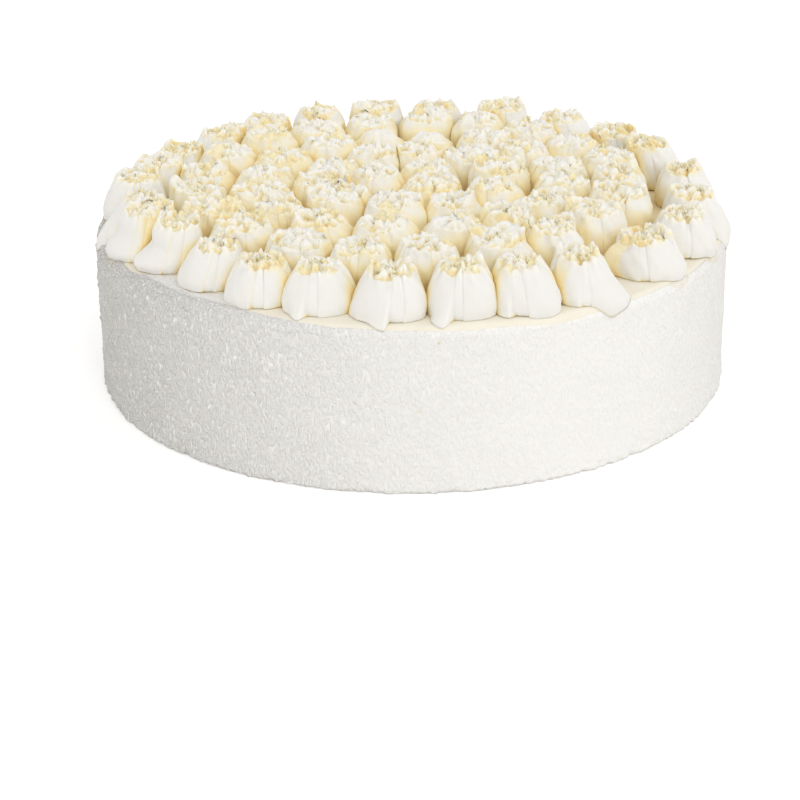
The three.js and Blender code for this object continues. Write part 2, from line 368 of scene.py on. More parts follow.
# A smooth band of cream on the ledge: how many degrees it runs down over the shoulder, by bearing
LEDGE_END = (
    (-180, -10), (-155, -10), (-148, 14), (-140, -10), (-122, -10), (-108, 27), (-96, 48), (-84, 52),
    (-74, 61), (-63, 78), (-55, 45), (-25, 42), (0, 35), (60, 30), (120, 20), (160, -10), (180, -10),
)
LEDGE_WANDER = 3  # degrees
LEDGE_EDGE = 2  # softness of its edge in degrees
LEDGE_SMOOTHNESS = 0.9  # share of the flecks that it hides
LEDGE_SINK = 0.25 * MM  # how far the band lies below the rough cream
LEDGE_TINT = 0.55
GAP_SHADE = 0.85  # painted shade under the dollops, between the outer rings, and growing to 1 in the middle
HEM_SHADE = 0.5  # painted contact shade beside the dollops
HEM_WIDTH = 0.8 * MM
HEM_SHADE_REACH = 0.5 * MM

# Scraped flecks: their length, width and slant, and how strong they are by bearing
FLECK_GRAINS = ((2.6 * MM, 1.3 * MM, math.radians(18)), (2.2 * MM, 1.2 * MM, math.radians(-14)))
FLECK_STRENGTH = (
    (-180, 2.4), (-160, 2.4), (-145, 2.3), (-125, 1.65), (-95, 0.8), (-82, 0.6), (-66, 0.42), (-50, 0.45),
    (-35, 0.65), (-15, 0.9), (60, 1.0), (180, 2.2),
)
FLECK_SLOPE = 0.5
FLECK_TIP_FROM = 1.2  # what stands higher than this is raised further
FLECK_TIP_SLOPE = 0.6
WAVE_WIDTH = 14 * MM
WAVE_HEIGHT = 0.12 * MM
FOOT_CRUMB = 1.8 * MM
FOOT_REACH = 2 * MM  # the crumbled foot line fades over this height

# Small pits in the side: bearing in degrees and height in millimetres
PITS = ((-85.9, 55.8), (-89.1, 31.2), (-85.0, 32.4), (-99, 34), (-104, 21))
PIT_WIDTH = 0.6 * MM
PIT_DEPTH = 0.3 * MM

# Soft suns: bearing from the front, climb and softness in degrees
SUNS = {"key": (15, 31, 30), "right_fill": (85, 35, 60), "left_fill": (-65, 12, 60)}
FLOOR_SIZE = 20
FLOOR_WHITE = (0.96, 0.96, 0.96, 1)
FLOOR_GLOW = 0.2
FLOOR_BOUNCE = (0.8, 0.785, 0.76, 1)  # colour of the light that the floor throws back
WHITE = (1, 1, 1, 1)
SENSOR_WIDTH = 36
CAMERA_START = 0.01  # what is nearer than this is not drawn


def length(name, description, default):
    """A length that a user can change."""
    return bpy.props.FloatProperty(
        name=name, description=description, default=default, unit="LENGTH", precision=5,
    )


def angle(name, description, degrees):
    """An angle that a user can change."""
    return bpy.props.FloatProperty(
        name=name, description=description, default=math.radians(degrees), subtype="ANGLE",
    )


def strength(name, description, default):
    """The strength of a light, which a user can change."""
    return bpy.props.FloatProperty(name=name, description=description, default=default, min=0)


def colour(name, description, default):
    """A colour that a user can change."""
    return bpy.props.FloatVectorProperty(
        name=name, description=description, default=default, subtype="COLOR", size=3, min=0, max=1,
    )


class CoatSettings(bpy.types.PropertyGroup):
    """The rough white cream on the side and under the dollops."""

    fleck: length("Fleck height", "How far the scraped flecks stand out of the side", 0.07 * MM)
    shoulder: length("Shoulder", "Radius of the rounded edge between side and top", 4 * MM)
    foot_crumble: length("Foot unevenness", "How far the lower edge wanders in and out", 0.4 * MM)
    white: colour("Cream white", "Colour of the coat in the open", (0.895, 0.881, 0.856))
    # The butter is the smooth ledge band's tone and also the colour of the painted shade beside the hems
    butter: colour("Butter cream", "Colour of the smooth ledge beside the dollops", (0.83, 0.765, 0.62))


class PipingSettings(bpy.types.PropertyGroup):
    """The piped cream dollops."""

    radius: length("Belly radius", "Radius of a dollop at its widest", 12.6 * MM)
    height: length("Height", "Height of a dollop from the cake to its crown", 17 * MM)
    wall: length("Petal thickness", "Thickness of the petals at their torn edge", 0.9 * MM)
    tear: length("Tear height", "Rise and fall of the torn edge", 1.4 * MM)
    seam: length("Seam depth", "Depth of the seams between the petals", 0.7 * MM)
    white: colour("Open cream", "Colour of the petals in the open", (0.815, 0.801, 0.768))
    tips: colour("Torn cream", "Colour of the torn tips", (0.865, 0.843, 0.79))
    # Colours of the painted shade: butter where sheltered, honey in the deepest gaps, brown in the notches
    butter: colour("Sheltered cream", "Colour in the crowns and between the dollops", (0.865, 0.775, 0.52))
    honey: colour("Deep cream", "Colour of the deepest gaps", (0.85, 0.68, 0.35))
    brown: colour("Notches", "Colour of the small notches under the petals", (0.45, 0.27, 0.07))


class StageSettings(bpy.types.PropertyGroup):
    """Floor, light and camera."""

    camera_place: bpy.props.FloatVectorProperty(
        name="Camera place",
        description="Where the camera stands",
        default=(0, -0.64372, 0.2713), subtype="TRANSLATION", size=3,
    )
    pitch: angle("Pitch", "How far the camera looks down", 24.452)
    yaw: angle("Yaw", "How far the camera turns to the right", -0.483)
    roll: angle("Roll", "How far the camera tips", -0.712)
    lens: bpy.props.FloatProperty(
        name="Lens",
        description="Focal length on a 36 mm sensor",
        default=75.39, subtype="DISTANCE_CAMERA",
    )
    key: strength("Key light", "Strength of the soft sun from the front right", 0.68)
    right_fill: strength("Right fill", "Strength of the very soft sun from the right", 0.44)
    left_fill: strength("Left fill", "Strength of the very soft, low sun from the left", 0.35)
    key_colour: colour("Key colour", "Colour of the soft suns", (0.96, 0.985, 1.0))
    sky: strength("Surrounding light", "Strength of the light from all round", 0.83)
    sky_colour: colour("Surrounding colour", "Colour of the light from all round", (1.0, 0.99, 0.97))


def uneven(number, trait):
    """A repeatable unevenness from -1 to 1 for a dollop and one of its traits."""
    wave = np.sin(number * 12.9898 + np.asarray(trait) * 78.233) * 43758.5453
    return 2 * (wave - np.floor(wave)) - 1


def smooth(value, low, high):
    """0 below low, 1 above high, with soft ends."""
    share = np.clip((np.asarray(value) - low) / (high - low), 0, 1)
    return share * share * (3 - 2 * share)


def bump(away, reach):
    """1 where away is 0, falling off to both sides over a reach."""
    return np.exp(-(away / reach) ** 2)


def fade_up(points, reach):
    """1 at the height 0 and below, fading upward over a reach."""
    return np.exp(-np.maximum(points[:, 2], 0) / reach)


# Meshes

def closed_faces(rows, columns):
    """Faces of a closed surface that point outward.

    Its rings of vertices are stored one after another, and after them the middle of either end.
    """
    row = np.arange(rows - 1)[:, None] * columns
    side = np.arange(columns)[None, :]
    following = (side + 1) % columns
    quads = (row + side, row + following, row + columns + following, row + columns + side)
    faces = np.stack(quads, axis=-1).reshape(-1, 4).tolist()
    count = rows * columns
    last = count - columns
    edges = [(corner, (corner + 1) % columns) for corner in range(columns)]
    faces += [(count, end, start) for start, end in edges]
    faces += [(count + 1, last + start, last + end) for start, end in edges]
    return faces


class Surface:
    """Vertices, faces and shades of one mesh as it is put together."""

    def __init__(self):
        self.points = []
        self.faces = []
        # The first shade is painted shade, with some of the cream's own tone mixed in
        self.shades = {"hollow": [], "torn": [], "warm": []}
        self.count = 0

    def add(self, points, faces, **shades):
        self.points.append(points)
        self.faces.extend([tuple(corner + self.count for corner in face) for face in faces])
        for name, values in self.shades.items():
            values.append(np.broadcast_to(shades[name], len(points)))
        self.count += len(points)

    def piece(self, name, material, slot, node):
        """Makes the piece, which stands for the given solid."""
        mesh = bpy.data.meshes.new(name)
        mesh.from_pydata(np.concatenate(self.points).tolist(), [], self.faces)
        for shade, values in self.shades.items():
            layer = mesh.attributes.new(shade, "FLOAT", "POINT")
            layer.data.foreach_set("value", np.concatenate(values).astype(np.float32))
        mesh.shade_smooth()
        mesh.materials.append(material)
        piece = bpy.data.objects.new(name, mesh)
        bpy.context.scene.collection.objects.link(piece)
        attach(piece, BODY)
        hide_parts(node)


# Places and shapes of the dollops

@dataclass
class Dollop:
    """One dollop: its place on the cake, its size and its lean."""

    number: int
    ring: str
    node: str
    bearing: float
    x: float
    y: float
    radius: float
    height: float
    lean_x: float
    lean_y: float
    crown: float
    bow: float
    roundness: float
    tongue: float  # length of its tongue beside the longest

    @property
    def dome(self):
        return self.number in DOMES

    @property
    def outer(self):
        return self.ring == "outer"

    @property
    def raggedness(self):
        """How torn and grooved it is beside a torn tulip."""
        return DOME_TEAR if self.dome else 1 - 0.5 * self.roundness


def lay_out_dollops(settings):
    """Every dollop, by the same rule as the solids."""
    dollops = []
    for ring in RINGS:
        for i in range(ring.count):
            number = ring.start + i
            outer = ring is RINGS[0]
            along = PLACE_SPREAD * uneven(number, Trait.ALONG) / ring.radius
            ruled = math.radians(ring.first + 360 * i / ring.count) + along
            bearing = math.radians(OUTER_BEARINGS[i]) if outer else ruled
            back = ring.radius / RINGS[0].radius * math.sin(bearing)
            behind = max(back, 0)
            taller = BACK_RISE * back + HEIGHT_SPREAD * uneven(number, Trait.HEIGHT)
            sizes = {
                "out": PLACE_SPREAD * uneven(number, Trait.OUT),
                "radius": settings.radius * (1 + RADIUS_SPREAD * uneven(number, Trait.RADIUS)),
                "height": settings.height * (1 + taller),
                "inward": INWARD_LEAN if outer else 0,
            }
            sizes |= {name: size * MM for name, size in MEASURED.get(number, {}).items()}
            reach, inward = ring.radius + sizes["out"], sizes["inward"]
            lean_to = math.pi * uneven(number, Trait.LEAN_TO)
            rounder = BACK_ROUNDNESS * behind + ROUNDNESS_SPREAD * uneven(number, Trait.ROUNDNESS)
            crown = min(ring.crown + BACK_CROWN * behind, WIDEST_CROWN)
            crown += CROWN_SPREAD * uneven(number, Trait.CROWN)
            bow = (ring.bow + BACK_BOW * behind) * (1 + BOW_SPREAD * uneven(number, Trait.BOW))
            dome = number in DOMES
            dollops.append(Dollop(
                number=number,
                ring=ring.name,
                node=f"dollop_{ring.name}_{i + 1:02d}" if ring.name in SINGLE_RINGS else "dollops_inner",
                bearing=bearing,
                x=reach * math.cos(bearing),
                y=reach * math.sin(bearing),
                radius=sizes["radius"],
                height=sizes["height"],
                lean_x=LEAN * math.cos(lean_to) - inward * math.cos(bearing),
                lean_y=LEAN * math.sin(lean_to) - inward * math.sin(bearing),
                crown=DOME_CROWN if dome else crown,
                bow=DOME_BOW if dome else bow,
                roundness=1 if dome else min(max(ring.roundness + rounder, 0), 1),
                tongue=max(-back, 0) ** TONGUE_FADE,
            ))
    return dollops


def neighbours_of(dollop, dollops):
    """Offsets, distances, radii and heights of the dollops round this one."""
    near = []
    for other in dollops:
        apart = math.hypot(other.x - dollop.x, other.y - dollop.y)
        if other is not dollop and apart < NEIGHBOUR_REACH * dollop.radius:
            near.append((other.x - dollop.x, other.y - dollop.y, apart, other.radius, other.height))
    return near


def past_faces(points, radius, near):
    """Directions of the upright faces on which a dollop meets its neighbours, and how far points are past
    them."""
    for dx, dy, apart, other_radius, _ in near:
        limit = (apart ** 2 + radius ** 2 - other_radius ** 2) / (2 * apart) + PRESS
        yield dx, dy, apart, (points[:, 0] * dx + points[:, 1] * dy) / apart - limit


def press_back(points, radius, near):
    """Moves points back to the upright faces on which this dollop meets its neighbours, just past them."""
    for _ in range(PRESS_ROUNDS):
        for dx, dy, apart, past in past_faces(points, radius, near):
            over = np.maximum(past, 0)
            points[:, 0] -= over * dx / apart
            points[:, 1] -= over * dy / apart
    return points


def meeting(points, radius, near):
    """How close points are to a face on which the dollop meets a neighbour, from 0 to 1."""
    closest = np.full(len(points), -np.inf)
    for *_, past in past_faces(points, radius, near):
        closest = np.maximum(closest, past)
    return bump(np.minimum(closest, 0), MEETING_REACH)


def bell_share(level, crown, bow, foot):
    """Share of the belly's radius at a share of the height: a bell that is widest just above its foot."""
    low = 1 - (1 - foot) * ((BELLY_LEVEL - level) / BELLY_LEVEL) ** 2
    climb = np.maximum(level - BELLY_LEVEL, 0) / (1 - BELLY_LEVEL)
    return np.where(level < BELLY_LEVEL, low, 1 - (1 - crown) * climb ** bow)


def shelter(points, near):
    """How sheltered points on a dollop's outside are, from 0 in the open to 1 in the deepest gaps.

    Looks out level in several directions and takes each neighbour as an upright drum.
    """
    facing = np.arctan2(points[:, 1], points[:, 0])
    seen = np.zeros(len(points))
    total = np.zeros(len(points))
    for direction in np.radians(np.arange(0, 360, SHELTER_STEP)):
        run_x, run_y = math.cos(direction), math.sin(direction)
        horizon = np.zeros(len(points))
        for dx, dy, _, radius, height in near:
            away_x, away_y = dx - points[:, 0], dy - points[:, 1]
            ahead = away_x * run_x + away_y * run_y
            aside = away_x * run_y - away_y * run_x
            chord = np.sqrt(np.maximum((DRUM_SHARE * radius) ** 2 - aside ** 2, 0))
            distance = np.maximum(ahead - chord, NEAREST)
            rise = np.maximum(height - points[:, 2], 0)
            hides = (chord > 0) & (ahead > 0)
            horizon = np.maximum(horizon, np.where(hides, rise / np.hypot(rise, distance), 0))
        weight = np.maximum(np.cos(facing - direction), SIDEWAYS_WEIGHT)
        seen += weight * (1 - horizon)
        total += weight
    return 1 - seen / total


def wave_round(rng, bearings, lobes):
    """A smooth random wave round a ring, of about unit height."""
    total = np.zeros(np.shape(bearings))
    for lobe in range(1, lobes + 1):
        total += rng.normal() * np.cos(lobe * bearings + rng.uniform(0, 2 * math.pi))
    return total / math.sqrt(lobes / 2)


def crumble(points, rng, width, height, slope):
    """Breaks torn cream into soft crumbs: each point moves with the crumbs that it is nearest to.

    Gives the move of each point, and how low it lies among the crumbs, from 0 to 1.
    """
    flat = points[:, :2]
    low, high = flat.min(axis=0), flat.max(axis=0)
    count = int(np.prod((high - low) / width))
    crumbs = rng.uniform(low, high, (count, 2))
    away = np.hypot(flat[:, None, 0] - crumbs[:, 0], flat[:, None, 1] - crumbs[:, 1])
    share = np.exp((away.min(axis=1, keepdims=True) - away) / (CRUMB_EDGE * width))
    share /= share.sum(axis=1, keepdims=True)
    crack = 1 - share.max(axis=1)
    tilt = slope * rng.normal(size=(count, 2))
    middle = (crumbs * tilt).sum(axis=1)
    lift = share @ (height * rng.uniform(-1, 1, count) - middle) + (flat * (share @ tilt)).sum(axis=1)
    lift -= CRUMB_CRACK * height * crack
    shift = share @ (CRUMB_SHIFT * height * rng.normal(size=(count, 2)))
    return np.column_stack((shift, lift)), np.clip(0.8 * crack - 0.5 * lift / height, 0, 1)


class Columns:
    """The upright lines of a dollop's mesh: their bearings, petals and places across the petals."""

    def __init__(self, dollop):
        count = len(PETALS)
        self.number = dollop.number
        self.wildness = 1 if dollop.outer else INNER_WILDNESS
        spread = self.wildness * SEAM_SPREAD * uneven(self.number, Trait.SEAM + np.arange(count))
        seams = [petal.seam for petal in PETALS] + spread
        widths = np.diff(np.append(seams, seams[0] + 360))
        turn = FRONT + self.wildness ** 2 * TURN_SPREAD * uneven(self.number, Trait.TURN)
        turn += TURNED.get(self.number, 0)
        stops = [np.linspace(0, 1, round(width / COLUMN_STEP) + 1)[:-1] for width in widths]
        stops = [stop + 0.5 / len(stop) for stop in stops]
        self.petal = np.repeat(np.arange(count), [len(stop) for stop in stops])
        even = np.concatenate(stops)
        self.across = even - COLUMN_CROWDING * np.sin(2 * math.pi * even)
        angles = seams[self.petal] + widths[self.petal] * self.across
        self.bearings = np.radians(turn + angles)
        self.count = len(self.bearings)
        from_seam = np.minimum(self.across, 1 - self.across) * np.radians(widths)[self.petal]
        self.to_seam = from_seam * dollop.radius
        starts = [i for i, petal in enumerate(PETALS) if petal.depth > LOBE_DEPTH]
        lobe = np.searchsorted(starts, self.petal, side="right") - 1
        lobe_widths = np.diff(np.append(seams[starts], seams[starts][0] + 360))[lobe]
        self.lobe_across = (angles - seams[starts][lobe]) / lobe_widths
        self.lobe_width = np.radians(lobe_widths) * dollop.radius

    def trait(self, name):
        """A trait of the petals, for each column."""
        return np.array([getattr(petal, name) for petal in PETALS])[self.petal]

    def spread(self, trait):
        """A petal's own unevenness, for each column."""
        return self.wildness * uneven(self.number, trait + self.petal)

    def torn_open(self):
        """How much each column belongs to the part of the left petal that can be torn away."""
        return (self.petal == LEFT_PETAL) * (1 - smooth(self.across, *TORN_OPEN_TO))

    def at_seam(self, name, reach):
        """A trait of the nearest seam, which fades within a reach of it."""
        own = np.array([getattr(petal, name) for petal in PETALS])
        following = np.roll(own, -1)
        value = np.where(self.across < 0.5, own[self.petal], following[self.petal])
        return value * bump(self.to_seam, reach)

    def grid(self, reach, height):
        """Points at a reach and a height for each row and column."""
        reach, height = np.broadcast_arrays(reach, height)
        return np.stack((reach * np.cos(self.bearings), reach * np.sin(self.bearings), height), axis=-1)


class Lobes:
    """Rounded lobes of cream that fill a crown, or the one lobe of a dome."""

    def __init__(self, dollop, rng):
        count = 1 if dollop.dome else LOBE_COUNT
        reach = LOBE_FIELD * dollop.radius * dollop.crown
        out = np.zeros(1) if dollop.dome else np.sqrt((np.arange(count) + 0.3) / count)
        turn = LOBE_TURN * np.arange(count) + rng.uniform(0, 2 * math.pi)
        self.places = reach * (np.column_stack((np.cos(turn), np.sin(turn))) * out[:, None])
        self.places += LOBE_SHIFT * reach * rng.normal(size=(count, 2))
        self.widths = reach * (np.ones(1) if dollop.dome else rng.uniform(*LOBE_WIDTHS, count))
        self.tops = LOBE_TOP - LOBE_TOP_FALL * out ** 2 + LOBE_TOP_SPREAD * rng.normal(size=count)
        self.torn = np.where(rng.random(count) < SMOOTH_LOBES, SMOOTH_TEAR, 1)
        self.torn = self.torn * (DOME_TEAR if dollop.dome else 1)
        self.yellow = np.where(rng.random(count) < YELLOW_LOBES, YELLOW, 0)
        self.yellow = self.yellow + (DOME_YELLOW if dollop.dome else 0)

    def at(self, points):
        """Height of the lobes beside the dollop's own, and which lobe is on top, for each point."""
        away = np.hypot(points[:, None, 0] - self.places[:, 0], points[:, None, 1] - self.places[:, 1])
        heights = self.tops - LOBE_DROP * (away / self.widths) ** 2
        return heights.max(axis=1), heights.argmax(axis=1)


def torn_rim(dollop, columns, settings, lobes, rng):
    """Height of the torn edge beside the dollop's own: petals of uneven height, or lobes that round over."""
    ear_place = columns.trait("ear_at") + EAR_SHIFT * columns.spread(Trait.EAR_PLACE)
    ear = np.maximum(1 - np.abs(columns.across - ear_place) / EAR_WIDTH, 0)
    ear = ear * columns.trait("ear") * (0.8 + 0.5 * columns.spread(Trait.EAR))
    gap = columns.at_seam("depth", GAP_WIDTH)
    ragged = RAG_HEIGHT * wave_round(rng, columns.bearings, RAGS)
    petals = columns.trait("rise") + ear + settings.tear * (0.5 * columns.spread(Trait.RISE) - 0.6 * gap)
    petals = petals - TORN_OPEN.get(dollop.number, 0) * columns.torn_open()
    lobed, _ = lobes.at(columns.grid(dollop.radius * dollop.crown, np.zeros(columns.count)))
    lobed = np.maximum(lobed - LOBED_DROP, LOBED_LOWEST)
    return petals + dollop.roundness * (lobed - petals) + settings.tear * dollop.raggedness * ragged


def hems(dollop, columns, level):
    """How far the foot of each petal spreads over the ledge, by row and column."""
    lengths = np.array([petal.tongue for petal in PETALS])
    lengths[LEFT_PETAL] *= dollop.tongue
    tip = columns.trait("tongue_at")
    ramp = 0.25 + 0.75 * smooth(columns.across, tip - TONGUE_RISE, tip) - smooth(columns.across, tip, 1)
    tongue = lengths[columns.petal] * (1 + 0.3 * columns.spread(Trait.TONGUE)) * ramp
    flap = smooth(columns.across, 0, FLAP_FROM) - smooth(columns.across, FLAP_TO, 1)
    tongue = tongue + FLAPS.get(dollop.number, 0) * flap * (columns.petal == RIGHT_PETAL)
    spread, spread_level, spread_at = LEFT_SPREADS.get(dollop.number, (0, 1, 0))
    aside = bump(columns.across - spread_at, SPREAD_WIDTH) * (columns.petal == LEFT_PETAL)
    return tongue * np.exp(-level / TONGUE_LEVEL) + spread * aside * np.exp(-level / spread_level)


def waist(dollop, columns, level):
    """How far the left side is drawn in above a round lower lobe, by row and column."""
    leftward = np.maximum(np.cos(columns.bearings - WAIST_BEARING), 0)
    lower_lobe = LOWER_LOBE_SHARE * bump(level - LOWER_LOBE_LEVEL, LOWER_LOBE_SPAN)
    return WAISTS.get(dollop.number, 0) * leftward * (bump(level - WAIST_LEVEL, WAIST_SPAN) - lower_lobe)


def dollop_wall(dollop, columns, settings, rim, rng):
    """The outside of the petals, from the foot to the torn edge: points by row and column."""
    level = WALL_LEVELS[:, None]
    fold = FOLD * (1 + columns.spread(Trait.FOLD)) * smooth(columns.to_seam, 0, FOLD_WIDTH)
    fold = (fold + ROUND_FOLD * dollop.roundness) * smooth(level, FOLD_LEVEL, 1) ** 1.5
    share = bell_share(level, dollop.crown, dollop.bow, columns.trait("foot")) * (1 - fold)

    groove = settings.seam * columns.at_seam("depth", SEAM_WIDTH) * (1 + 0.5 * columns.spread(Trait.GROOVE))
    groove = groove * dollop.raggedness * (0.5 + 0.5 * smooth(level, 0, GROOVE_LEVEL))
    swell = LOBE_SWELL * columns.lobe_width * (1 - (2 * columns.lobe_across - 1) ** 2)
    low_dents = wave_round(rng, columns.bearings, LOW_DENTS)
    high_dents = wave_round(rng, columns.bearings, HIGH_DENTS)
    wrinkles = wave_round(rng, columns.bearings + WRINKLE_TWIST * level, WRINKLES)
    reach = dollop.radius * share + swell * smooth(level, 0, SWELL_LEVEL) - groove
    reach = reach + DENT * (low_dents * (1 - level) + high_dents * level)
    reach = reach + columns.wildness * WRINKLE * wrinkles
    reach = reach + hems(dollop, columns, level) - waist(dollop, columns, level)

    lift = columns.trait("lift") * (1 + 0.5 * columns.spread(Trait.LIFT)) * np.exp(-level / LIFT_LEVEL)
    return columns.grid(reach, level * dollop.height + smooth(level, RIM_LEVEL, 1) * rim + lift)


def drape(points, dollop):
    """Lays what spreads past the ledge over the rounded shoulder of the cake."""
    shoulder = bpy.context.scene.cake_coat.shoulder
    ledge = SIDE_RADIUS - shoulder
    round_radius = shoulder + HANG_CLEARANCE
    x, y = points[:, 0] + dollop.x, points[:, 1] + dollop.y
    radius = np.hypot(x, y)
    past = np.maximum(radius - ledge, 0)
    turn = np.minimum(past / round_radius, math.pi / 2)
    below = np.maximum(past - round_radius * math.pi / 2, 0)
    hangs = fade_up(points, HANG)
    pull = hangs * (past - round_radius * np.sin(turn)) / radius
    points[:, 0] -= pull * x
    points[:, 1] -= pull * y
    points[:, 2] -= hangs * (round_radius * (1 - np.cos(turn)) + below)
    return points


def fill_crown(dollop, columns, rim_reach, lobes, rng):
    """The inside of a crown: rounded lobes of cream with pockets between them, by row and column."""
    crown = columns.grid(rim_reach * CROWN_SHARES[:, None] / CROWN_SHARES[0], 0)
    depth = POCKET_DEPTH * (0.9 + 0.45 * uneven(columns.number, Trait.POCKET))
    floor = -depth * np.maximum(0.9 + 0.35 * wave_round(rng, columns.bearings, POCKET_WAVES), 0.2)
    heights, _ = lobes.at(crown.reshape(-1, 3))
    crown[:, :, 2] = dollop.height + np.maximum(heights.reshape(crown.shape[:2]), floor)
    return crown


def dollop_rows(dollop, columns, settings, lobes, rng):
    """Rows of points from under the foot, up the petals and over the torn edge to the middle of the crown."""
    rim = torn_rim(dollop, columns, settings, lobes, rng)
    wall = dollop_wall(dollop, columns, settings, rim, rng)
    rim_reach = np.hypot(wall[-1, :, 0], wall[-1, :, 1])
    rim_height = wall[-1, :, 2]
    thick = settings.wall * rng.uniform(*THICKNESSES)
    thick = thick * (1 + 0.3 * wave_round(rng, columns.bearings, THICKNESS_WAVES))
    thick = np.clip(thick * (1 + 0.6 * dollop.roundness), THINNEST, THICKEST * rim_reach)
    crown = fill_crown(dollop, columns, rim_reach - 2 * thick, lobes, rng)
    climb = crown[0, :, 2] - rim_height
    inner = np.stack((
        columns.grid(rim_reach - thick, rim_height + 0.6 * dollop.roundness * climb),
        columns.grid(rim_reach - 1.6 * thick, rim_height + (0.5 + 0.4 * dollop.roundness) * climb),
    ))
    under = columns.grid(np.full(columns.count, dollop.radius * UNDER_SHARE), -UNDER_DEPTH)[None]
    return np.concatenate((under, wall, inner, crown))


def break_up(points, torn, rng):
    """Breaks torn cream into crumbs of several sizes, and gives how low each point lies among them."""
    low = np.zeros(len(points))
    loose = torn > LOOSE
    for width, height, slope in CRUMBS:
        move, depth = crumble(points[loose], rng, width, height, slope)
        points[loose] += move * torn[loose, None]
        low[loose] += 0.6 * depth * torn[loose]
    return low


def outside_painted_shade(points, level, dollop, columns, near):
    """Painted shade on the outside of a dollop, apart from its torn cream: golden where shade falls."""
    painted_shade = shelter(points, near)
    if dollop.outer:
        corner = painted_shade ** 3 * fade_up(points, CORNER_REACH)
        painted_shade = np.minimum(painted_shade ** 1.6, OPEN_SHELTER) + CORNER_SHADE * corner
        painted_shade = painted_shade + MEETING_SHADE * meeting(points, dollop.radius, near)
    else:
        painted_shade = painted_shade + INNER_FOOT_SHADE * np.clip(1 - level, 0, 1) ** 1.5
    left = smooth(-math.cos(dollop.bearing), *LEFT_SHARES)
    # Painted seam shade, stronger at the left of the cake, and brown painted shade in the notches at the foot
    seam_shade = SEAM_SHADE + LEFT_SEAM_SHADE * left + NOTCH_SHADE * fade_up(points, NOTCH_REACH)
    seam_shade = seam_shade * np.tile(columns.at_seam("seam_shade", SEAM_SHADE_REACH), OUTSIDE_ROWS)
    painted_shade = painted_shade + FOOT_SHADE * fade_up(points, FOOT_SHADE_REACH) + seam_shade
    if dollop.number in TORN_OPEN:
        painted_shade = painted_shade + TORN_OPEN_SHADE * np.tile(columns.torn_open(), OUTSIDE_ROWS)
    return painted_shade


def add_flakes(surface, spots, dollop, rng):
    """Adds thin curled flakes of cream that stand on a torn crown."""
    steps = np.linspace(0, 1, FLAKE_ROWS)
    round_angles = np.linspace(0, 2 * math.pi, FLAKE_SIDES, endpoint=False)
    faces = closed_faces(FLAKE_ROWS, FLAKE_SIDES)
    # Painted shade, from the foot of a flake to its tip
    painted_shade = FLAKE_FOOT_SHADE + (FLAKE_TIP_SHADE - FLAKE_FOOT_SHADE) * steps
    painted_shade = np.append(np.repeat(painted_shade, FLAKE_SIDES), painted_shade[[0, -1]])
    for spot in rng.choice(len(spots), round(FLAKE_COUNT * (1 - 0.7 * dollop.roundness)), replace=False):
        length = rng.uniform(*FLAKE_LENGTHS) * MM
        half_width = rng.uniform(*FLAKE_HALF_WIDTHS) * MM * np.sqrt(1 - 0.85 * steps ** 2)
        half_thick = FLAKE_HALF_THICKNESS * (1 - 0.6 * steps)
        turn = rng.uniform(0, 2 * math.pi)
        tilt = rng.uniform(*FLAKE_TILTS) + rng.uniform(*FLAKE_CURLS) * steps
        side = np.array((math.cos(turn), math.sin(turn), 0))
        front = np.array((-math.sin(turn), math.cos(turn), 0))
        along = np.sin(tilt)[:, None] * front + np.cos(tilt)[:, None] * (0, 0, 1)
        across = np.cos(tilt)[:, None] * front - np.sin(tilt)[:, None] * (0, 0, 1)
        spine = spots[spot] - FLAKE_ROOT * along[0] + np.cumsum(along, axis=0) * length / FLAKE_ROWS
        rings = spine[:, None] + (half_width[:, None] * np.cos(round_angles))[:, :, None] * side
        rings = rings + (half_thick[:, None] * np.sin(round_angles))[:, :, None] * across[:, None]
        points = np.concatenate((rings.reshape(-1, 3), spine[[0, -1]]))
        surface.add(points + (dollop.x, dollop.y, CAKE_TOP), faces, hollow=painted_shade, torn=1, warm=0)


